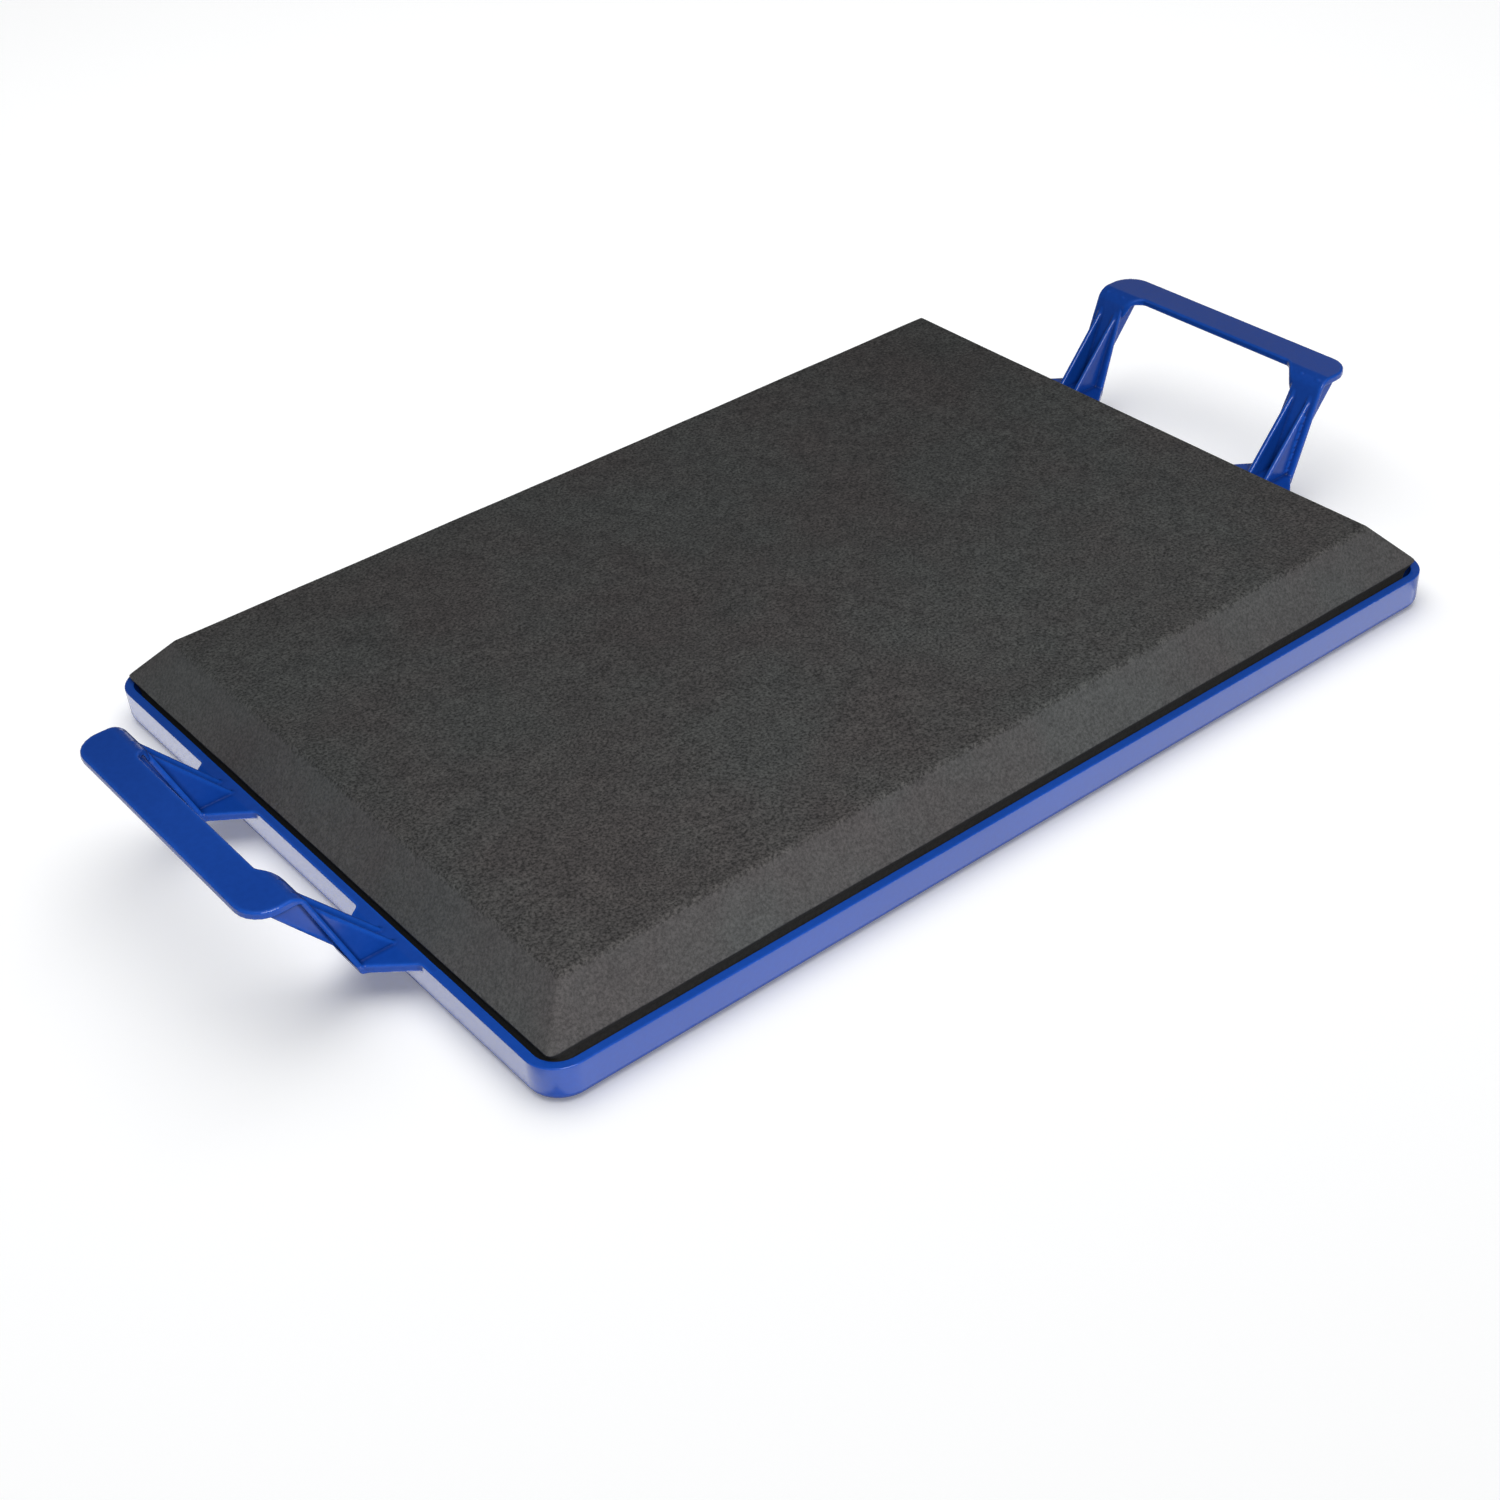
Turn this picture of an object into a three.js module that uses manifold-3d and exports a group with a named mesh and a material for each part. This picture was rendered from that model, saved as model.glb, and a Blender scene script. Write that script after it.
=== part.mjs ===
// Kneeling board: a thick bevelled foam pad bonded into a shallow plastic tray that has a handle at each end.
// Millimetres, +Z up, X along the board. The origin is the middle of the underside, on the floor.
import * as THREE from 'three';
import { mergeVertices } from 'three/addons/utils/BufferGeometryUtils.js';
import Module from 'manifold-3d';

const wasm = await Module();
wasm.setup();

// ---- driving dimensions ----
const TRAY_LENGTH = 519;
const TRAY_WIDTH = 363;
const TRAY_HEIGHT = 18;
const TRAY_CORNER = 15.5;
const TRAY_WALL = 4.4;
const TRAY_FLOOR = 3;
const BOTTOM_EDGE_RADIUS = 4.5;

const PAD_LENGTH = 508;
const PAD_WIDTH = 350;
const PAD_THICKNESS = 38.1;
const PAD_BEVEL_INSET = 20.2;
const PAD_BEVEL_HEIGHT = 20.4;
const PAD_CORNER = 10.5;

const GLUE_THICKNESS = 0.5;
const GLUE_MARGIN = 18;
const GLUE_CORNER = 6;
const GAP = 0.3;

const GRIP_TOP = 65.8;
const GRIP_THICKNESS = 3.8;
const GRIP_LENGTH = 156;
const GRIP_OUTER = 65.2;
const GRIP_INNER = 47;
const GRIP_OUTER_CORNER = 13;
const GRIP_INNER_CORNER = 6;
const GRIP_SWAY_START = 49;

const LEG_INSIDE = 57.8;
const LEG_OUTSIDE = 77.8;
const WEB_THICKNESS = 2.5;
const WEB_SLOPE = 0.397;
const WEB_OUTER_AT_RIM = 25.7;
const WEB_BEND_RADIUS = 5;

const RIB_THICKNESS = 2.6;
const RIB_SPACING = 10.6;
const RIB_TOP_BELOW_GRIP = 9;
const GUSSET_REACH = 57;
const GUSSET_FOOT_ABOVE_RIM = 9.3;

const LEDGE_THICKNESS = 4;
const LEDGE_INSIDE = 42;
const LEDGE_OUTSIDE = 93;

const ARC_STEPS = 6;
const EDGE_STEPS = 4;
const OVERLAP = 0.4;
const WELD_DISTANCE = 1e-4;

// ---- materials ----
const BLUE = { color: 0x1c3f94, roughness: 0.34, metalness: 0 };
const CHARCOAL = { color: 0x3d3d3d, roughness: 0.92, metalness: 0 };
const AMBER = { color: 0xb79a5a, roughness: 0.5, metalness: 0 };

// ---- solids ----
function toSolid(geometry) {
  const bare = geometry.clone();
  bare.deleteAttribute('normal');
  bare.deleteAttribute('uv');
  const merged = mergeVertices(bare, WELD_DISTANCE);
  const mesh = new wasm.Mesh({
    numProp: 3,
    vertProperties: new Float32Array(merged.attributes.position.array),
    triVerts: new Uint32Array(merged.index.array),
  });
  return new wasm.Manifold(mesh);
}

function toGeometry(solid) {
  const mesh = solid.getMesh();
  const geometry = new THREE.BufferGeometry();
  geometry.setAttribute('position', new THREE.BufferAttribute(new Float32Array(mesh.vertProperties), 3));
  geometry.setIndex(new THREE.BufferAttribute(new Uint32Array(mesh.triVerts), 1));
  geometry.computeVertexNormals();
  return geometry;
}

function union(solids) {
  return solids.reduce((sum, solid) => sum.add(solid));
}

function node(name, geometry, look) {
  const mesh = new THREE.Mesh(geometry, new THREE.MeshStandardMaterial(look));
  mesh.name = name;
  return mesh;
}

// A rectangle with round corners, centred on the origin.
function roundRectangle(length, width, radius) {
  const shape = new THREE.Shape();
  const x = length / 2 - radius;
  const y = width / 2 - radius;
  shape.absarc(x, y, radius, 0, Math.PI / 2);
  shape.absarc(-x, y, radius, Math.PI / 2, Math.PI);
  shape.absarc(-x, -y, radius, Math.PI, 1.5 * Math.PI);
  shape.absarc(x, -y, radius, 1.5 * Math.PI, 2 * Math.PI);
  return shape;
}

// A plan outline raised from bottom to top.
function prism(shape, bottom, top) {
  const settings = { depth: top - bottom, bevelEnabled: false, curveSegments: ARC_STEPS };
  return new THREE.ExtrudeGeometry(shape, settings).translate(0, 0, bottom);
}

// A side outline in X and Z, given thickness along Y and centred on y.
function sidePlate(shape, y, thickness) {
  const settings = { depth: thickness, bevelEnabled: false, curveSegments: ARC_STEPS };
  const plate = new THREE.ExtrudeGeometry(shape, settings);
  return plate.rotateX(Math.PI / 2).translate(0, y + thickness / 2, 0);
}

// ---- tray ----
// The bottom edge is round, so the outside is a body rounded top and bottom with its upper half cut off.
function trayOutside() {
  const outline = roundRectangle(
    TRAY_LENGTH - 2 * BOTTOM_EDGE_RADIUS,
    TRAY_WIDTH - 2 * BOTTOM_EDGE_RADIUS,
    TRAY_CORNER - BOTTOM_EDGE_RADIUS,
  );
  const body = new THREE.ExtrudeGeometry(outline, {
    depth: 2 * (TRAY_HEIGHT - BOTTOM_EDGE_RADIUS),
    bevelEnabled: true,
    bevelThickness: BOTTOM_EDGE_RADIUS,
    bevelSize: BOTTOM_EDGE_RADIUS,
    bevelSegments: EDGE_STEPS,
    curveSegments: ARC_STEPS,
  }).translate(0, 0, BOTTOM_EDGE_RADIUS);
  const upper = new THREE.BoxGeometry(2 * TRAY_LENGTH, 2 * TRAY_WIDTH, 2 * TRAY_HEIGHT)
    .translate(0, 0, 2 * TRAY_HEIGHT);
  return toSolid(body).subtract(toSolid(upper));
}

function trayGeometry() {
  const recess = roundRectangle(
    TRAY_LENGTH - 2 * TRAY_WALL,
    TRAY_WIDTH - 2 * TRAY_WALL,
    TRAY_CORNER - TRAY_WALL,
  );
  const hollow = toSolid(prism(recess, TRAY_FLOOR, 2 * TRAY_HEIGHT));
  return toGeometry(trayOutside().subtract(hollow));
}

// ---- pad ----
const padBottom = TRAY_FLOOR + GAP + GLUE_THICKNESS + GAP;
const padTop = padBottom + PAD_THICKNESS;
const bevelFoot = padTop - PAD_BEVEL_HEIGHT;

// A four-sided bevel that narrows the pad from its full size to its top face.
function padBevel() {
  const span = 2 * PAD_LENGTH;
  const lean = Math.atan2(PAD_BEVEL_INSET, PAD_BEVEL_HEIGHT);
  function trimmer(halfSpan, turn) {
    return toSolid(
      new THREE.BoxGeometry(span, span, span)
        .translate(span / 2, 0, 0)
        .rotateY(-lean)
        .translate(halfSpan, 0, bevelFoot)
        .rotateZ(turn),
    );
  }
  return union([
    trimmer(PAD_LENGTH / 2, 0),
    trimmer(PAD_WIDTH / 2, Math.PI / 2),
    trimmer(PAD_LENGTH / 2, Math.PI),
    trimmer(PAD_WIDTH / 2, -Math.PI / 2),
  ]);
}

function padGeometry() {
  const block = toSolid(prism(roundRectangle(PAD_LENGTH, PAD_WIDTH, PAD_CORNER), padBottom, padTop));
  return toGeometry(block.subtract(padBevel()));
}

function glueGeometry() {
  const outline = roundRectangle(PAD_LENGTH - 2 * GLUE_MARGIN, PAD_WIDTH - 2 * GLUE_MARGIN, GLUE_CORNER);
  const bottom = TRAY_FLOOR + GAP;
  return prism(outline, bottom, bottom + GLUE_THICKNESS);
}

// ---- handle, drawn for the +X end ----
// Distances out from the pad's end are given as "reach", and become X by adding half of the pad's length.
const padEnd = PAD_LENGTH / 2;
const ledgeInner = TRAY_LENGTH / 2 + GAP;
const gripBottom = GRIP_TOP - GRIP_THICKNESS;
const ledgeBottom = TRAY_HEIGHT - LEDGE_THICKNESS;
const legCentre = (LEG_INSIDE + LEG_OUTSIDE) / 2;
const legWidth = LEG_OUTSIDE - LEG_INSIDE;

function webOuter(z) {
  return padEnd + WEB_OUTER_AT_RIM + WEB_SLOPE * (z - TRAY_HEIGHT);
}

function webInner(z) {
  return webOuter(z) - WEB_THICKNESS * Math.hypot(1, WEB_SLOPE);
}

// The grip seen from above: straight between the legs, and wider over each leg.
function gripOutline() {
  const outer = padEnd + GRIP_OUTER;
  const inner = padEnd + GRIP_INNER;
  const overLeg = webInner(GRIP_TOP);
  const end = GRIP_LENGTH / 2;
  const big = GRIP_OUTER_CORNER;
  const small = GRIP_INNER_CORNER;
  const sway = (LEG_INSIDE + GRIP_SWAY_START) / 2;
  const shape = new THREE.Shape();
  shape.moveTo(outer, -(end - big));
  shape.lineTo(outer, end - big);
  shape.absarc(outer - big, end - big, big, 0, Math.PI / 2);
  shape.absarc(overLeg + small, end - small, small, Math.PI / 2, Math.PI);
  shape.lineTo(overLeg, LEG_INSIDE);
  shape.bezierCurveTo(overLeg, sway, inner, sway, inner, GRIP_SWAY_START);
  shape.lineTo(inner, -GRIP_SWAY_START);
  shape.bezierCurveTo(inner, -sway, overLeg, -sway, overLeg, -LEG_INSIDE);
  shape.lineTo(overLeg, -(end - small));
  shape.absarc(overLeg + small, -(end - small), small, Math.PI, 1.5 * Math.PI);
  shape.absarc(outer - big, -(end - big), big, 1.5 * Math.PI, 2 * Math.PI);
  return shape;
}

// The leaning web of a leg seen from the side, up to the grip's top face.
function webOutline() {
  const shape = new THREE.Shape();
  shape.moveTo(webOuter(ledgeBottom), ledgeBottom);
  shape.lineTo(webOuter(GRIP_TOP), GRIP_TOP);
  shape.lineTo(webInner(GRIP_TOP), GRIP_TOP);
  shape.lineTo(webInner(ledgeBottom), ledgeBottom);
  return shape;
}

// What is taken off the corner between web and grip to leave it round, seen from the side.
function bendOutline() {
  const turn = GRIP_TOP - WEB_BEND_RADIUS;
  const above = GRIP_TOP + OVERLAP;
  const shape = new THREE.Shape();
  shape.moveTo(webInner(turn) - OVERLAP, turn);
  shape.lineTo(webInner(turn), turn);
  shape.quadraticCurveTo(webInner(GRIP_TOP), GRIP_TOP, webInner(GRIP_TOP) + WEB_BEND_RADIUS, GRIP_TOP);
  shape.lineTo(webInner(GRIP_TOP) + WEB_BEND_RADIUS, above);
  shape.lineTo(webInner(turn) - OVERLAP, above);
  return shape;
}

// A rib on the pad's side of the web: from the ledge up to a point under the grip.
function ribOutline() {
  const tip = GRIP_TOP - RIB_TOP_BELOW_GRIP;
  const shape = new THREE.Shape();
  shape.moveTo(ledgeInner, ledgeBottom);
  shape.lineTo(webInner(ledgeBottom) + OVERLAP, ledgeBottom);
  shape.lineTo(webInner(tip) + OVERLAP, tip);
  shape.lineTo(ledgeInner, TRAY_HEIGHT);
  return shape;
}

// A gusset on the outer side of the web: under the grip, down to a point on the web.
function gussetOutline() {
  const tip = TRAY_HEIGHT + GUSSET_FOOT_ABOVE_RIM;
  const top = gripBottom + OVERLAP;
  const shape = new THREE.Shape();
  shape.moveTo(webOuter(tip) - OVERLAP, tip);
  shape.lineTo(padEnd + GUSSET_REACH, gripBottom);
  shape.lineTo(padEnd + GUSSET_REACH, top);
  shape.lineTo(webOuter(top) - OVERLAP, top);
  return shape;
}

// The foot seen from above: it spreads from the leg's width to a wider root along the rim.
function ledgeOutline(side) {
  const outer = webOuter(ledgeBottom) - OVERLAP;
  const shape = new THREE.Shape();
  shape.moveTo(ledgeInner, side * LEDGE_INSIDE);
  shape.lineTo(outer, side * LEG_INSIDE);
  shape.lineTo(outer, side * LEG_OUTSIDE);
  shape.lineTo(ledgeInner, side * LEDGE_OUTSIDE);
  return shape;
}

function leg(side) {
  const centre = side * legCentre;
  const ribs = [-1, 1].flatMap((hand) => {
    const y = centre + hand * (RIB_SPACING / 2);
    return [
      toSolid(sidePlate(ribOutline(), y, RIB_THICKNESS)),
      toSolid(sidePlate(gussetOutline(), y, RIB_THICKNESS)),
    ];
  });
  const web = toSolid(sidePlate(webOutline(), centre, legWidth));
  const ledge = toSolid(prism(ledgeOutline(side), ledgeBottom, TRAY_HEIGHT));
  return union([web, ledge, ...ribs]);
}

function handleSolid() {
  const grip = toSolid(prism(gripOutline(), gripBottom, GRIP_TOP));
  const bend = toSolid(sidePlate(bendOutline(), 0, 2 * GRIP_LENGTH));
  return union([grip, leg(1), leg(-1)]).subtract(bend);
}

function handleGeometry(turn) {
  return toGeometry(handleSolid()).rotateZ(turn);
}

// ---- assembly ----
const board = new THREE.Group();
board.add(node('tray', trayGeometry(), BLUE));
board.add(node('handle_right', handleGeometry(0), BLUE));
board.add(node('handle_left', handleGeometry(Math.PI), BLUE));
board.add(node('glue_layer', glueGeometry(), AMBER));
board.add(node('foam_pad', padGeometry(), CHARCOAL));

export default board;
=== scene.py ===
import math

import bpy
import numpy as np
from mathutils import Matrix, Vector


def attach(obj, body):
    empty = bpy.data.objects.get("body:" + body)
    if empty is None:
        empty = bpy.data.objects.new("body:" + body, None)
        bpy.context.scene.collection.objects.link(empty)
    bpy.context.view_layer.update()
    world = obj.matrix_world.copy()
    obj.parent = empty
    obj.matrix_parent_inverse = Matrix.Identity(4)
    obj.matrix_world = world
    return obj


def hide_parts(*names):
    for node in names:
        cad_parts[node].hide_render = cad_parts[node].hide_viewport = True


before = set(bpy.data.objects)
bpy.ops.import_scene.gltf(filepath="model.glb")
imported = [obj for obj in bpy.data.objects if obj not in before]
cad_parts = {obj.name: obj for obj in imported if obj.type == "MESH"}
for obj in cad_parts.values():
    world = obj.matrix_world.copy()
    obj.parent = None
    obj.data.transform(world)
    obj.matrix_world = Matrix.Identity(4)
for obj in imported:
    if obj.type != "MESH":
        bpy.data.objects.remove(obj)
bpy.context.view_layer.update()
MM = 0.001

# ---- sizes in millimetres, z from the floor, close to the CAD's ----
TRAY_HALF = (259.0, 181.0)
TRAY_CORNER = 15.5
RIM = 18.1
RIM_EDGE = 0.6
WALL = 4.4
DRAFT = 0.35
FOOT_EDGE = 4.5
INNER = WALL - DRAFT
FLOOR = 3.0
FLOOR_FILLET = 1.5
PLATE_INSET = 9.0
PLATE_CORNER = 8.0
PAD_END = 254.0
PAD_FOOT = (254.0, 175.2)
FOOT_SHIFT = (0.1, 0.3)
PAD_CROWN = (234.2, 156.6)
CROWN_SHIFT = (-0.8, -1.8)
PAD_BOTTOM = 4.2
BEVEL_FOOT = 21.6
PAD_TOP = 42.4
PAD_ROLL = 2
UNDERCUT = 1.5
NEAR_PINCH = 0.4
FAR_LIFT = 0.8
GRIP_TOP = 65.8
GRIP_THICK = 3.8
GRIP_OUT = PAD_END + 65.2
GRIP_IN = PAD_END + 47.1
GRIP_HALF = 78.0
GRIP_CORNER = 13
GRIP_BEND = 5.0
SHEET_EDGE = 1.0
LEG_MID = 67.8
LEG_HALF = 10.0
RIB_OFF = 5.3
RIB_HALF = 1.3
RIB_EDGE = 1.1
RIB_FILLET = 0.9
LEDGE_FILLET = 1.1
LEDGE_BOTTOM = 14.1
SLOPE = 0.397
WEB_OUT = 25.7
WEB_THICK = 2.5
LEAN = 1 / math.hypot(1, SLOPE)
BLOCK_X = (TRAY_HALF[0] - PLATE_INSET, 322.0)
BLOCK_Y = 100.0
BLOCK_Z = (-1.3, 68.0)
CELL = 0.8


# ---- distance fields, negative inside ----
def both(a, b, r):
    """Inside a and b, with the edge between them rounded to radius r."""
    corner = np.hypot(np.maximum(a + r, 0), np.maximum(b + r, 0))
    return np.minimum(np.maximum(a, b), -r) + corner


def either(a, b, r):
    """Inside a or b, with a fillet of radius r between them."""
    corner = np.hypot(np.maximum(r - a, 0), np.maximum(r - b, 0))
    return np.maximum(np.minimum(a, b), r) - corner


def plan_rect(x, y, half, r):
    qx = np.abs(x) - half[0] + r
    qy = np.abs(y) - half[1] + r
    return np.minimum(np.maximum(qx, qy), 0) + np.hypot(np.maximum(qx, 0), np.maximum(qy, 0)) - r


def polygon(x, y, points):
    """Signed distance to a closed polygon."""
    best = np.full(np.broadcast(x, y).shape, 1e9)
    inside = np.zeros(best.shape, bool)
    for (ax, ay), (bx, by) in zip(points, points[1:] + points[:1]):
        ex, ey = bx - ax, by - ay
        wx, wy = x - ax, y - ay
        t = np.clip((wx * ex + wy * ey) / (ex * ex + ey * ey), 0, 1)
        best = np.minimum(best, (wx - ex * t) ** 2 + (wy - ey * t) ** 2)
        crosses = ((ay <= y) & (by > y)) | ((by <= y) & (ay > y))
        inside ^= crosses & ((ex * wy > ey * wx) == (by > ay))
    return np.where(inside, -1, 1) * np.sqrt(best)


def web_out(z):
    return PAD_END + WEB_OUT + SLOPE * (z - RIM)


def web_in(z):
    return web_out(z) - WEB_THICK / LEAN


def arc(cx, cy, r, start, end, steps=6):
    angles = np.radians(np.linspace(start, end, steps + 1))
    return [(cx + r * math.cos(a), cy + r * math.sin(a)) for a in angles]


def sway(a, b, steps=10):
    """An S-curve between two points that leaves and arrives along y."""
    t = np.linspace(0, 1, steps + 1)
    ease = t * t * (3 - 2 * t)
    return [(a[0] + (b[0] - a[0]) * e, a[1] + (b[1] - a[1]) * k) for k, e in zip(t, ease)]


def sheet_plan():
    """Half of the bent sheet of web and grip seen from above, for y above 0."""
    foot = PAD_END + 14
    points = [(GRIP_IN, -5), (GRIP_OUT, -5)]
    points += arc(GRIP_OUT - GRIP_CORNER, GRIP_HALF - GRIP_CORNER, GRIP_CORNER, 0, 90)
    points += [(PAD_END + 44, LEG_MID + LEG_HALF), (foot, LEG_MID + LEG_HALF)]
    points += [(foot, 55.2), (PAD_END + 23, 56.6), (PAD_END + 30, LEG_MID - LEG_HALF)]
    points += sway((PAD_END + 39.5, 59.5), (GRIP_IN, 49.0))
    return points


SHEET_PLAN = sheet_plan()
LEDGE_PLAN = [
    (PAD_END + 3.2, 41.1),
    (PAD_END + 24.2, 57.2),
    (PAD_END + 24.2, 76.6),
    (PAD_END + 3.2, 94.0),
]
RIB_SIDE = [
    (PAD_END + 3.0, LEDGE_BOTTOM + 0.6),
    (web_in(LEDGE_BOTTOM) + 1.2, LEDGE_BOTTOM + 0.6),
    (web_in(57.0) + 1.2, 57.0),
    (PAD_END + 38.6, 56.6),
    (PAD_END + 3.0, 15.3),
]
GUSSET_SIDE = [
    (web_out(26.5) - 1.2, 26.5),
    (PAD_END + 57.0, GRIP_TOP - GRIP_THICK + 0.2),
    (PAD_END + 57.0, GRIP_TOP - 1.2),
    (web_out(GRIP_TOP - 1.2) - 1.2, GRIP_TOP - 1.2),
]


def tray_sides(x, y, z):
    """Distances to the tray's drafted outside and to its upright inside."""
    d = plan_rect(x, y, TRAY_HALF, TRAY_CORNER)
    return d - DRAFT * z / RIM, -(d + INNER)


def tray(x, y, z):
    outside, inside = tray_sides(x, y, z)
    wall = both(np.maximum(outside, inside), z - RIM, RIM_EDGE)
    floor = np.maximum(z - FLOOR, outside)
    return np.maximum(either(wall, floor, FLOOR_FILLET), both(outside, -z, FOOT_EDGE))


def handle(x, y, z):
    y = np.abs(y)
    lip = both((web_in(z) - x) * LEAN, z - GRIP_TOP, GRIP_BEND)
    under = both((web_out(z) - x) * LEAN, z - (GRIP_TOP - GRIP_THICK), GRIP_BEND - GRIP_THICK)
    sheet = both(np.maximum(lip, -under), polygon(x, y, SHEET_PLAN), SHEET_EDGE)
    across = np.abs(np.abs(y - LEG_MID) - RIB_OFF) - RIB_HALF
    rib = both(polygon(x, z, RIB_SIDE), across, RIB_EDGE)
    gusset = both(polygon(x, z, GUSSET_SIDE), across, RIB_EDGE)
    body = either(either(sheet, rib, RIB_FILLET), gusset, RIB_FILLET)
    body = both(body, LEDGE_BOTTOM - z, RIM_EDGE)
    plan = either(np.maximum(*tray_sides(x, y, z)), polygon(x, y, LEDGE_PLAN), LEDGE_FILLET)
    ledge = both(both(plan, z - RIM, RIM_EDGE), LEDGE_BOTTOM - z, RIM_EDGE)
    return either(body, ledge, RIB_FILLET)


def moulding(x, y, z):
    return np.minimum(tray(x, y, z), handle(x, y, z))


def slope_of(field, p, step=0.02):
    """Unit gradient of a field at points p."""
    grad = np.empty_like(p)
    for axis in range(3):
        shift = np.zeros(3)
        shift[axis] = step
        grad[:, axis] = field(*(p + shift).T) - field(*(p - shift).T)
    return grad / np.maximum(np.linalg.norm(grad, axis=1, keepdims=True), 1e-9)


def surface_net(field, xs, ys, zs):
    """Quads on the zero level of a field, one point per mixed cell, settled onto the surface."""
    values = field(xs[:, None, None], ys[None, :, None], zs[None, None, :])
    axes = (xs, ys, zs)
    solid = values < 0
    cells = tuple(n - 1 for n in values.shape)
    total = np.zeros(cells + (3,))
    count = np.zeros(cells)
    quads = []
    number = np.arange(int(np.prod(cells))).reshape(cells)
    for axis in range(3):
        lo = [slice(None)] * 3
        hi = [slice(None)] * 3
        lo[axis], hi[axis] = slice(None, -1), slice(1, None)
        a, b = values[tuple(lo)], values[tuple(hi)]
        crossing = (a < 0) != (b < 0)
        i, j, k = np.nonzero(crossing)
        at = [i, j, k]
        t = a[i, j, k] / (a[i, j, k] - b[i, j, k])
        point = np.stack([axes[n][at[n]] for n in range(3)], 1)
        point[:, axis] += t * (axes[axis][1] - axes[axis][0])
        others = [n for n in range(3) if n != axis]
        corner_cells = []
        whole = np.ones(len(i), bool)
        for da, db in ((-1, -1), (0, -1), (0, 0), (-1, 0)):
            cell = [i.copy(), j.copy(), k.copy()]
            cell[others[0]] += da
            cell[others[1]] += db
            ok = np.ones(len(i), bool)
            for n in others:
                ok &= (cell[n] >= 0) & (cell[n] < cells[n])
            where = tuple(c[ok] for c in cell)
            np.add.at(total, where, point[ok])
            np.add.at(count, where, 1)
            whole &= ok
            corner_cells.append(cell)
        quad = np.stack([number[tuple(c[whole] for c in cell)] for cell in corner_cells], 1)
        outward = solid[tuple(lo)][i, j, k][whole]
        if axis == 1:
            outward = ~outward
        quads.append(np.where(outward[:, None], quad, quad[:, ::-1]))
    quads = np.concatenate(quads)
    used, faces = np.unique(quads, return_inverse=True)
    faces = faces.reshape(quads.shape)
    index = np.unravel_index(used, cells)
    points = total[index] / count[index][:, None]
    pinned = np.zeros(points.shape, bool)
    seams = (
        (index[0] == 0, 0, xs[0]),
        (index[1] == 0, 1, ys[0]),
        (index[1] == cells[1] - 1, 1, ys[-1]),
    )
    for edge, n, value in seams:
        points[edge, n] = value
        pinned[edge, n] = True
    for _ in range(4):
        grad = slope_of(field, points)
        grad[pinned] = 0
        size = np.maximum((grad**2).sum(1), 0.1)
        move = field(*points.T) / size
        points -= grad * np.clip(move, -CELL / 2, CELL / 2)[:, None]
    return points, faces


def ring(half, r, per_long, per_short, per_corner):
    """Points round a rectangle with round corners, anticlockwise from the top of its +X side."""
    hx, hy = half[0] - r, half[1] - r
    points = []
    for sx, sy, start, span, count in (
        (1, 1, 0, (hx, -hx), per_long),
        (-1, 1, 90, (hy, -hy), per_short),
        (-1, -1, 180, (-hx, hx), per_long),
        (1, -1, 270, (-hy, hy), per_short),
    ):
        points += arc(sx * hx, sy * hy, r, start, start + 90, per_corner)
        for t in np.linspace(0, 1, count + 1)[1:-1]:
            along = span[0] + (span[1] - span[0]) * t
            if start in (0, 180):
                points.append((along, sy * half[1]))
            else:
                points.append((sx * half[0], along))
    return np.array(points)


def band(rows, closed):
    """Quads between consecutive rows of equally many points."""
    count = len(rows[0])
    faces = []
    last = count if closed else count - 1
    for r in range(len(rows) - 1):
        for k in range(last):
            a, b = r * count + k, r * count + (k + 1) % count
            faces.append((a, b, b + count, a + count))
    return np.concatenate(rows), faces


def tray_profile():
    """(offset from the outer wall, z) round the tray's section: underneath, over the rim, to inside."""
    points = [(-PLATE_INSET, 0.0), (-FOOT_EDGE - 0.2, 0.0)]
    points += arc(-FOOT_EDGE, FOOT_EDGE, FOOT_EDGE, 270, 360, 9)
    points += [(0.0, FOOT_EDGE + 0.3), (0.0, 9.0), (0.0, RIM - RIM_EDGE - 0.15)]
    points += arc(-RIM_EDGE, RIM - RIM_EDGE, RIM_EDGE, 0, 90, 5)
    points = [(d + DRAFT * z / RIM, z) for d, z in points]
    points += arc(-INNER + RIM_EDGE, RIM - RIM_EDGE, RIM_EDGE, 90, 180, 5)
    points += [(-INNER, RIM - RIM_EDGE - 0.15), (-INNER, FLOOR + FLOOR_FILLET + 0.1)]
    points += arc(-INNER - FLOOR_FILLET, FLOOR + FLOOR_FILLET, FLOOR_FILLET, 360, 270, 4)
    points += [(-INNER - FLOOR_FILLET - 0.3, FLOOR), (-PLATE_INSET, FLOOR)]
    return points


def tray_strip(side):
    """The tray's wall from one handle's block to the other's, along its +Y or -Y side."""
    rows = []
    for d, z in tray_profile():
        r = TRAY_CORNER + d
        hx, hy = TRAY_HALF[0] + d, TRAY_HALF[1] + d
        line = [(hx, t) for t in np.linspace(BLOCK_Y, hy - r, 10)[:-1]]
        line += arc(hx - r, hy - r, r, 0, 90, 12)
        line += [(t, hy) for t in np.linspace(hx - r, r - hx, 60)[1:-1]]
        line += arc(r - hx, hy - r, r, 90, 180, 12)
        line += [(-hx, t) for t in np.linspace(hy - r, BLOCK_Y, 10)[1:]]
        rows.append(np.array([(x, side * y, z) for x, y in line]))
    points, faces = band(rows, False)
    if side < 0:
        faces = [f[::-1] for f in faces]
    return points, faces


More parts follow.
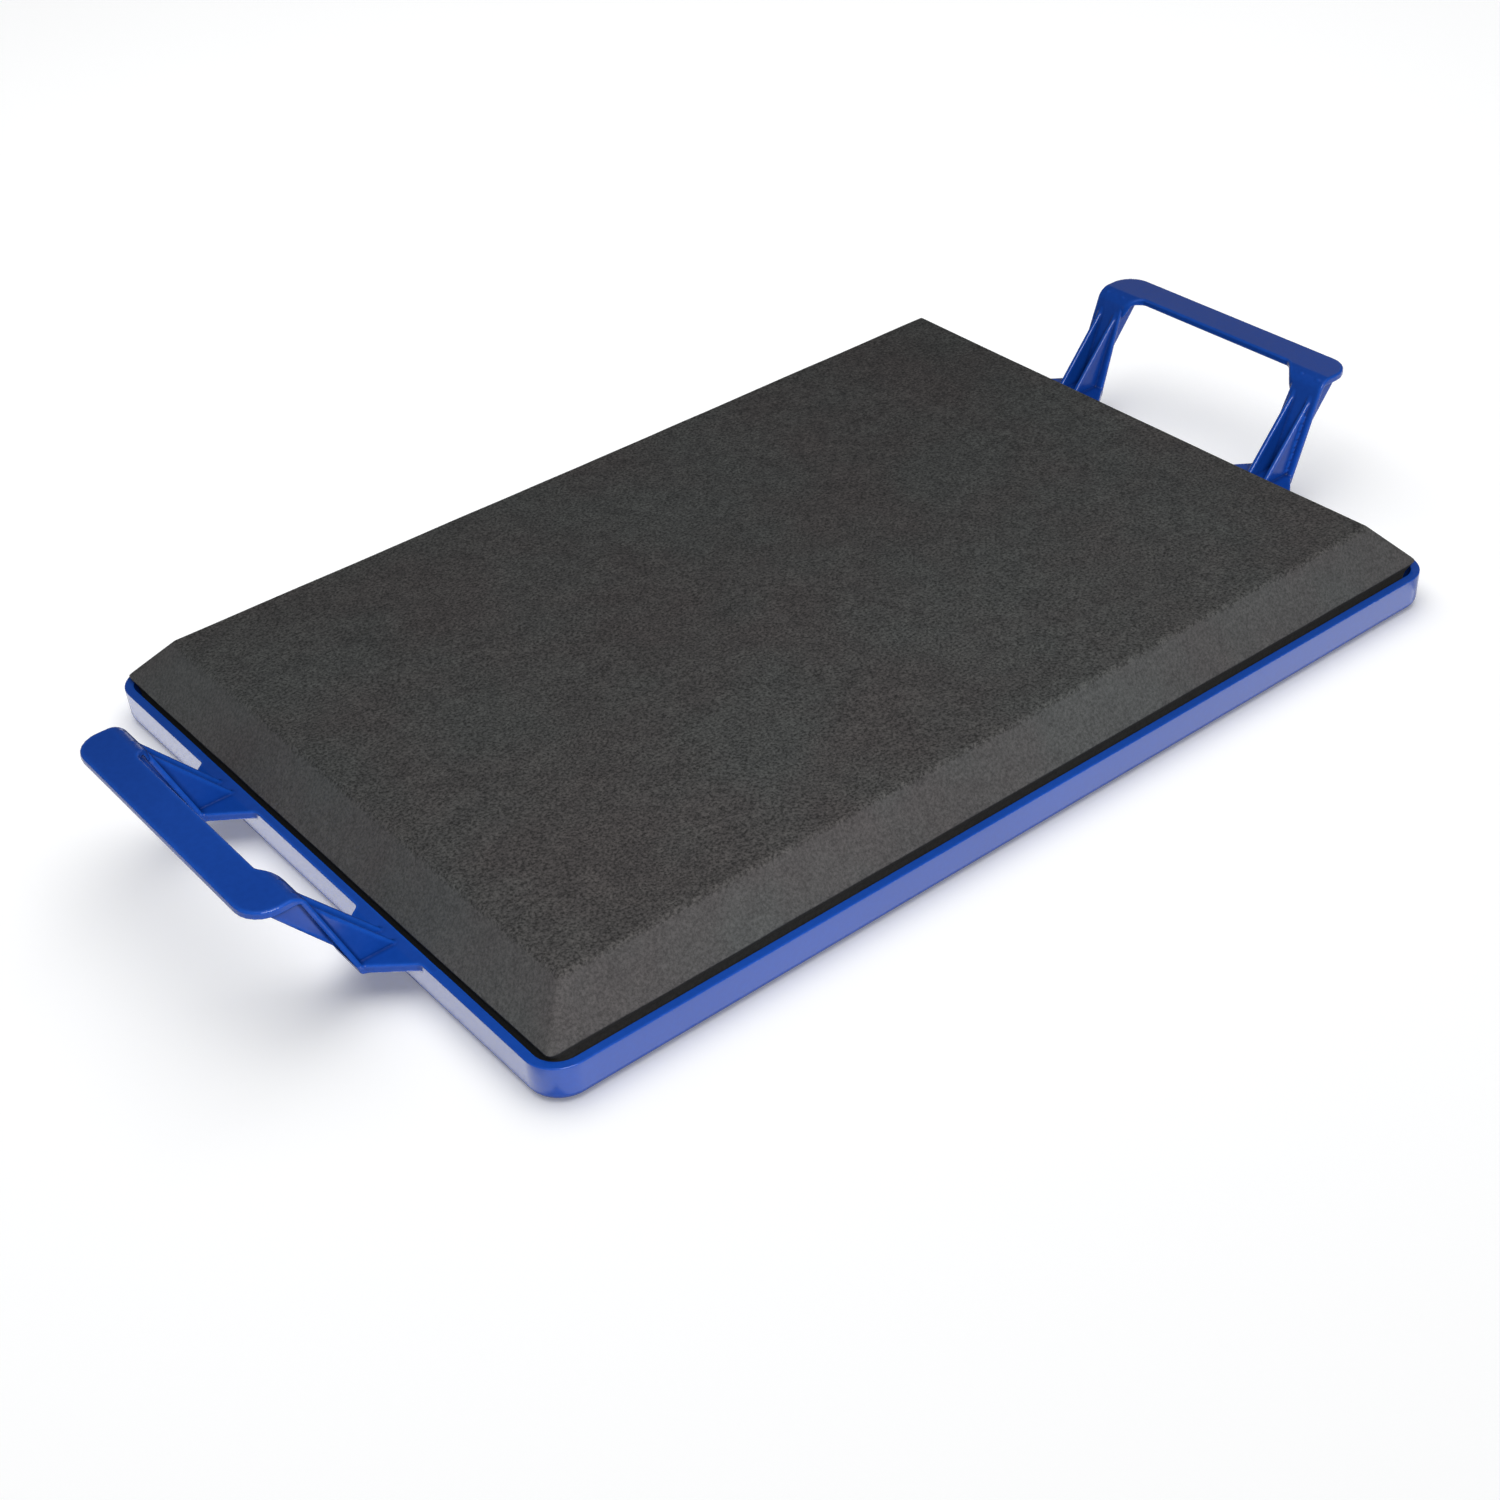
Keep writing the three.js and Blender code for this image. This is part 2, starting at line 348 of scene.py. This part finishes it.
def mesh_object(name, points, faces, normals=None):
    mesh = bpy.data.meshes.new(name)
    mesh.from_pydata((np.asarray(points) * MM).tolist(), [], [list(map(int, f)) for f in faces])
    mesh.validate()
    mesh.shade_smooth()
    if normals is not None and len(mesh.vertices) == len(points):
        mesh.normals_split_custom_set_from_vertices(normals.tolist())
    obj = bpy.data.objects.new(name, mesh)
    bpy.context.scene.collection.objects.link(obj)
    return obj


def build_moulding():
    xs = np.arange(BLOCK_X[0], BLOCK_X[1], CELL)
    ys = np.linspace(-BLOCK_Y, BLOCK_Y, int(2 * BLOCK_Y / CELL) + 1)
    zs = np.arange(BLOCK_Z[0], BLOCK_Z[1], CELL)
    points, faces = surface_net(moulding, xs, ys, zs)
    normals = slope_of(moulding, points)
    flip = np.array([-1, 1, 1])
    parts = [(points, faces, normals), (points * flip, faces[:, ::-1], normals * flip)]
    for side in (1, -1):
        strip, quads = tray_strip(side)
        parts.append((strip, quads, slope_of(tray, strip)))
    outline = ring([half - PLATE_INSET for half in TRAY_HALF], PLATE_CORNER, 40, 30, 6)
    for z, up in ((0.0, -1), (FLOOR, 1)):
        flat = np.column_stack([outline, np.full(len(outline), z)])
        order = range(len(outline))[::up]
        parts.append((flat, [list(order)], np.tile([0.0, 0.0, up], (len(flat), 1))))
    all_points, all_faces, all_normals, start = [], [], [], 0
    for points, faces, normals in parts:
        all_points.append(points)
        all_normals.append(normals)
        all_faces += [[start + v for v in f] for f in faces]
        start += len(points)
    return mesh_object("base_moulding", np.concatenate(all_points), all_faces, np.concatenate(all_normals))


# ---- foam pad ----
def smooth(t):
    t = np.clip(t, 0, 1)
    return t * t * (3 - 2 * t)


def ripple(x, y, seed, size):
    """A gentle unevenness made of a few waves."""
    rng = np.random.default_rng(seed)
    total = 0
    for _ in range(7):
        angle, phase = rng.uniform(0, math.tau, 2)
        wave = math.tau / (size * rng.uniform(0.6, 1.6))
        total = total + np.sin(wave * (x * math.cos(angle) + y * math.sin(angle)) + phase)
    return total / 7


def pad_profile():
    """(inset, share of the way up the bevel, z, plan corner radius) up the pad's side and over its top."""
    points = [(UNDERCUT + 16, 0, PAD_BOTTOM, 8), (UNDERCUT + PAD_ROLL, 0, PAD_BOTTOM, 9)]
    roll = arc(0, PAD_BOTTOM + PAD_ROLL, PAD_ROLL, 270, 360, 4)
    points += [(UNDERCUT + PAD_ROLL - x, 0, z, 9) for x, z in roll]
    points += [(UNDERCUT, 0, 9, 9), (UNDERCUT, 0, 14, 8.5), (UNDERCUT, 0, 17.0, 6)]
    points += [(UNDERCUT * t, 0, BEVEL_FOOT - 0.7 - 3.2 * t, 4.0) for t in (1, 0.8, 0.6, 0.4, 0.2, 0.1)]
    points += [(0.5 - x, 0, z, 2.6) for x, z in arc(0, BEVEL_FOOT - 0.35, 0.5, 0, 45, 4)]
    for t in np.linspace(0.04, 0.96, 18):
        points.append((0, t, BEVEL_FOOT + (PAD_TOP - BEVEL_FOOT) * t, 3.0 - 2 * t))
    for t in np.linspace(0, 1, 6):
        points.append((1.45 * t - 0.6, 1, PAD_TOP - 0.62 * (1 - t) ** 2, 1.0))
    for inset in np.arange(3, 155, 3.0):
        points.append((inset, 1, PAD_TOP, 1.0))
    return points


def build_pad():
    rows = []
    for inset, rise, z, r in pad_profile():
        half = [foot + (crown - foot) * rise - inset for foot, crown in zip(PAD_FOOT, PAD_CROWN)]
        shift = [foot + (crown - foot) * rise for foot, crown in zip(FOOT_SHIFT, CROWN_SHIFT)]
        outline = ring(half, min(r, half[1] * 0.9), per_long=150, per_short=104, per_corner=6) + shift
        rows.append(np.column_stack([outline, np.full(len(outline), z)]))
    count = len(rows[0])
    points, faces = band(rows, True)
    faces.append(list(range(count))[::-1])
    faces.append([len(points) - count + k for k in range(count)])
    x, y, z = points.T.copy()
    up = smooth((z - 14) / 8)
    pinch = NEAR_PINCH * up * (1 - smooth(np.hypot(x + PAD_FOOT[0], y + PAD_FOOT[1]) / 80))
    lift = FAR_LIFT * (1 - smooth(np.hypot(x - PAD_FOOT[0], y - PAD_FOOT[1]) / 260))
    z = z + (lift + 0.3 * ripple(x, y, 3, 70)) * up
    x, y = x + pinch, y + pinch
    x = x + 0.25 * ripple(y, z * 3, 5, 55) * up * smooth((np.abs(x) - 180) / 70)
    y = y + 0.25 * ripple(x, z * 3, 8, 55) * up * smooth((np.abs(y) - 110) / 60)
    return mesh_object("foam_block", np.column_stack([x, y, z]), faces)


# ---- materials ----
def new_material(name):
    material = bpy.data.materials.new(name)
    material.use_nodes = True
    tree = material.node_tree
    return material, tree, tree.nodes["Principled BSDF"]


def add(tree, kind, settings=(), **inputs):
    node = tree.nodes.new(kind)
    for key, value in dict(settings).items():
        setattr(node, key, value)
    for key, value in inputs.items():
        node.inputs[key.replace("_", " ")].default_value = value
    return node


def noise(tree, coords, scale, detail=4.0, rough=0.5):
    node = add(tree, "ShaderNodeTexNoise", Scale=scale, Detail=detail, Roughness=rough)
    tree.links.new(coords.outputs["Object"], node.inputs["Vector"])
    return node


def ramp(tree, source, stops):
    node = tree.nodes.new("ShaderNodeValToRGB")
    while len(node.color_ramp.elements) < len(stops):
        node.color_ramp.elements.new(0.5)
    for element, (place, colour) in zip(node.color_ramp.elements, stops):
        element.position = place
        element.color = (*colour, 1)
    tree.links.new(source, node.inputs["Fac"])
    return node


def blend(tree, kind, factor, a, b):
    node = add(tree, "ShaderNodeMix", {"data_type": "RGBA", "blend_type": kind})
    for value, socket in ((factor, node.inputs[0]), (a, node.inputs[6]), (b, node.inputs[7])):
        if isinstance(value, bpy.types.NodeSocket):
            tree.links.new(value, socket)
        else:
            socket.default_value = value
    return node.outputs[2]


def spread(tree, source, low, high):
    node = add(tree, "ShaderNodeMapRange", To_Min=low, To_Max=high, From_Min=0.3, From_Max=0.7)
    tree.links.new(source, node.inputs["Value"])
    return node.outputs["Result"]


def bump(tree, shader, layers):
    """Stacks (height socket, strength, distance) layers onto the shader's normal."""
    last = None
    for height, strength, distance in layers:
        node = add(tree, "ShaderNodeBump", Strength=strength, Distance=distance)
        tree.links.new(height, node.inputs["Height"])
        if last:
            tree.links.new(last.outputs["Normal"], node.inputs["Normal"])
        last = node
    tree.links.new(last.outputs["Normal"], shader.inputs["Normal"])


def blue_plastic():
    material, tree, shader = new_material("blue_plastic")
    coords = tree.nodes.new("ShaderNodeTexCoord")
    broad = noise(tree, coords, 9, 3)
    fine = noise(tree, coords, 420, 4)
    grain = noise(tree, coords, 1900, 2)
    base = ramp(tree, broad.outputs["Fac"], [(0.3, (0.004, 0.042, 0.265)), (0.7, (0.006, 0.052, 0.315))])
    tint = ramp(tree, fine.outputs["Fac"], [(0.35, (0.93, 0.93, 0.93)), (0.65, (1.0, 1.0, 1.0))])
    colour = blend(tree, "MULTIPLY", 1.0, base.outputs["Color"], tint.outputs["Color"])
    # Painted highlight and painted shade keyed to pointiness: sharp convex edges are lightened as if
    # catching gloss, and creases and hollows are darkened where shade falls.
    bend = tree.nodes.new("ShaderNodeNewGeometry").outputs["Pointiness"]
    edge_glint_crease_shade = ramp(tree, bend, [(0.44, (0.4, 0.4, 0.45)), (0.5, (1, 1, 1)), (0.57, (1.6, 1.6, 1.45))])
    colour = blend(tree, "MULTIPLY", 1.0, colour, edge_glint_crease_shade.outputs["Color"])
    tree.links.new(colour, shader.inputs["Base Color"])
    tree.links.new(spread(tree, fine.outputs["Fac"], 0.19, 0.27), shader.inputs["Roughness"])
    shader.inputs["IOR"].default_value = 1.5
    shader.inputs["Specular IOR Level"].default_value = 0.32
    bump(tree, shader, [
        (broad.outputs["Fac"], 0.12, 0.001),
        (fine.outputs["Fac"], 0.06, 0.0004),
        (grain.outputs["Fac"], 0.04, 0.0002),
    ])
    return material


def charcoal_foam():
    material, tree, shader = new_material("charcoal_foam")
    coords = tree.nodes.new("ShaderNodeTexCoord")
    patch = noise(tree, coords, 7.5, 5, 0.6)
    warm = noise(tree, coords, 16, 3)
    mottle = noise(tree, coords, 130, 4, 0.65)
    speck = noise(tree, coords, 760, 3, 0.75)
    crease = noise(tree, coords, 34, 2, 0.5)
    crease.inputs["Distortion"].default_value = 1.2
    pores = add(tree, "ShaderNodeTexVoronoi", Scale=620)
    tree.links.new(coords.outputs["Object"], pores.inputs["Vector"])
    height = tree.nodes.new("ShaderNodeSeparateXYZ")
    tree.links.new(coords.outputs["Object"], height.inputs["Vector"])
    skin_foot, skin_top = (PAD_TOP - 2.4) * MM, (PAD_TOP - 1.1) * MM
    side_foot, side_top = (BEVEL_FOOT - 1.0) * MM, (BEVEL_FOOT - 0.3) * MM
    skin = add(tree, "ShaderNodeMapRange", From_Min=skin_foot, From_Max=skin_top, To_Min=0.45)
    tree.links.new(height.outputs["Z"], skin.inputs["Value"])
    base = ramp(tree, patch.outputs["Fac"], [(0.3, (0.038, 0.0365, 0.0365)), (0.7, (0.0445, 0.044, 0.044))])
    cut = ramp(tree, skin.outputs["Result"], [(0.45, (1.27, 1.27, 1.3)), (1.0, (0.95, 0.95, 0.95))])
    # Painted shade: the foam's side below the bevel foot, under its overhang, is darkened to 0.22 of its
    # colour.
    side = add(tree, "ShaderNodeMapRange", From_Min=side_foot, From_Max=side_top, To_Min=0.22)
    tree.links.new(height.outputs["Z"], side.inputs["Value"])
    colour = blend(tree, "MULTIPLY", 1.0, base.outputs["Color"], cut.outputs["Color"])
    colour = blend(tree, "MULTIPLY", 1.0, colour, side.outputs["Result"])
    for source, share, stops in (
        (warm, 1.0, [(0.36, (1.0, 0.94, 0.92)), (0.64, (0.95, 1.0, 0.97))]),
        (mottle, skin.outputs["Result"], [(0.36, (0.86, 0.86, 0.87)), (0.64, (1.15, 1.15, 1.14))]),
        (speck, skin.outputs["Result"], [(0.36, (0.35, 0.35, 0.35)), (0.64, (1.95, 1.95, 1.95))]),
        (crease, 1.0, [(0.49, (1, 1, 1)), (0.5, (0.84, 0.84, 0.84)), (0.51, (1, 1, 1))]),
    ):
        layer = ramp(tree, source.outputs["Fac"], stops)
        colour = blend(tree, "MULTIPLY", share, colour, layer.outputs["Color"])
    tree.links.new(colour, shader.inputs["Base Color"])
    tree.links.new(spread(tree, speck.outputs["Fac"], 0.85, 0.97), shader.inputs["Roughness"])
    shader.inputs["Specular IOR Level"].default_value = 0.25
    shader.inputs["Sheen Weight"].default_value = 0.02
    shader.inputs["Sheen Roughness"].default_value = 0.6
    bump(tree, shader, [
        (warm.outputs["Fac"], 0.2, 0.002),
        (mottle.outputs["Fac"], 0.25, 0.0012),
        (pores.outputs["Distance"], 0.25, 0.0004),
        (speck.outputs["Fac"], 0.5, 0.0006),
    ])
    return material


def amber_glue():
    material, tree, shader = new_material("amber_glue")
    coords = tree.nodes.new("ShaderNodeTexCoord")
    blobs = noise(tree, coords, 60, 4)
    colour = ramp(tree, blobs.outputs["Fac"], [(0.3, (0.36, 0.25, 0.09)), (0.7, (0.55, 0.42, 0.18))])
    tree.links.new(colour.outputs["Color"], shader.inputs["Base Color"])
    tree.links.new(spread(tree, blobs.outputs["Fac"], 0.35, 0.6), shader.inputs["Roughness"])
    bump(tree, shader, [(blobs.outputs["Fac"], 0.4, 0.0006)])
    return material


def white_floor():
    material, tree, shader = new_material("white_floor")
    shader.inputs["Base Color"].default_value = (0.9, 0.9, 0.9, 1)
    shader.inputs["Roughness"].default_value = 0.9
    shader.inputs["Specular IOR Level"].default_value = 0.0
    shader.inputs["Emission Color"].default_value = (1, 1, 1, 1)
    shader.inputs["Emission Strength"].default_value = 0.2
    return material


# ---- the pieces ----
moulding_piece = build_moulding()
moulding_piece.data.materials.append(blue_plastic())
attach(moulding_piece, "root")
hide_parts("tray", "handle_right", "handle_left")

pad_piece = build_pad()
pad_piece.data.materials.append(charcoal_foam())
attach(pad_piece, "root")
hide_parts("foam_pad")

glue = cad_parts["glue_layer"]
glue.data.materials.clear()
glue.data.materials.append(amber_glue())

# ---- stage ----
bpy.ops.mesh.primitive_plane_add(size=12, location=(0, 0, 0))
floor = bpy.context.object
floor.name = "floor"
floor.data.materials.append(white_floor())


def only(name, *objects):
    """A collection for light linking, holding the objects a light falls on."""
    group = bpy.data.collections.new(name)
    for obj in objects:
        group.objects.link(obj)
    return group


def area_light(name, place, size, watts, receivers=None):
    data = bpy.data.lights.new(name, "AREA")
    data.shape = "RECTANGLE"
    data.size, data.size_y = size
    data.energy = watts
    lamp = bpy.data.objects.new(name, data)
    lamp.location = place
    lamp.rotation_mode = "QUATERNION"
    lamp.rotation_quaternion = (-Vector(place)).to_track_quat("-Z", "Y")
    bpy.context.scene.collection.objects.link(lamp)
    if receivers:
        lamp.light_linking.receiver_collection = receivers


def glow_card(name, low, high, strength, z=0.3):
    """A level card seen only in gloss: bright on the table, or dark to keep glare off the legs."""
    material = bpy.data.materials.new(name)
    material.use_nodes = True
    tree = material.node_tree
    tree.nodes.remove(tree.nodes["Principled BSDF"])
    glow = add(tree, "ShaderNodeEmission", Strength=strength)
    tree.links.new(glow.outputs["Emission"], tree.nodes["Material Output"].inputs["Surface"])
    corners = [(low[0], low[1], z), (high[0], low[1], z), (high[0], high[1], z), (low[0], high[1], z)]
    card = mesh_object(name, corners, [(0, 1, 2, 3)])
    card.data.materials.append(material)
    card.visible_camera = False
    card.visible_diffuse = False
    card.visible_shadow = False


# places and sizes in metres, powers in watts; the cards are in millimetres
board = only("board", moulding_piece, pad_piece, glue)
ground = only("ground", floor)
area_light("softbox_top", (-0.1, -0.1, 2.0), (1.6, 1.6), 6)
area_light("softbox_key", (-0.4, -0.9, 0.88), (0.6, 0.45), 18, board)
area_light("softbox_table", (0.15, 0.35, 2.2), (3.2, 3.2), 60, ground)
glow_card("table_glow_left", (-272, -200), (-261, 200), 2.5)
glow_card("table_glow_front", (-262, -199), (262, -183), 2.6)
glow_card("glow_far_right", (1200, 700), (2100, 1600), 0.42, 900)
glow_card("flag_left", (-305, -100), (-260.5, 100), 0.0, 18.9)

world = bpy.data.worlds.new("studio")
bpy.context.scene.world = world
world.use_nodes = True
world.node_tree.nodes["Background"].inputs["Color"].default_value = (0.9, 0.95, 1.0, 1)
world.node_tree.nodes["Background"].inputs["Strength"].default_value = 0.1

# ---- camera ----
TARGET = Vector((-0.07614, -0.07459, 0.0218))
DISTANCE = 1.02809
FOCAL_LENGTH = 56.09
AZIMUTH, ELEVATION, ROLL = math.radians(-36.32), math.radians(36.326), math.radians(-4.136)
back = Vector((
    math.sin(AZIMUTH) * math.cos(ELEVATION),
    -math.cos(AZIMUTH) * math.cos(ELEVATION),
    math.sin(ELEVATION),
))
level = (-back).cross(Vector((0, 0, 1))).normalized()
rise = level.cross(-back)
right = math.cos(ROLL) * level + math.sin(ROLL) * rise
up = -math.sin(ROLL) * level + math.cos(ROLL) * rise
lens = bpy.data.cameras.new("camera")
lens.sensor_fit = "HORIZONTAL"
lens.sensor_width = 36
lens.lens = FOCAL_LENGTH
lens.clip_start, lens.clip_end = 0.02, 50
camera = bpy.data.objects.new("camera", lens)
turn = Matrix((right, up, back)).transposed().to_4x4()
camera.matrix_world = Matrix.Translation(TARGET + back * DISTANCE) @ turn
bpy.context.scene.collection.objects.link(camera)
bpy.context.scene.camera = camera
bpy.context.scene.view_settings.view_transform = "Standard"
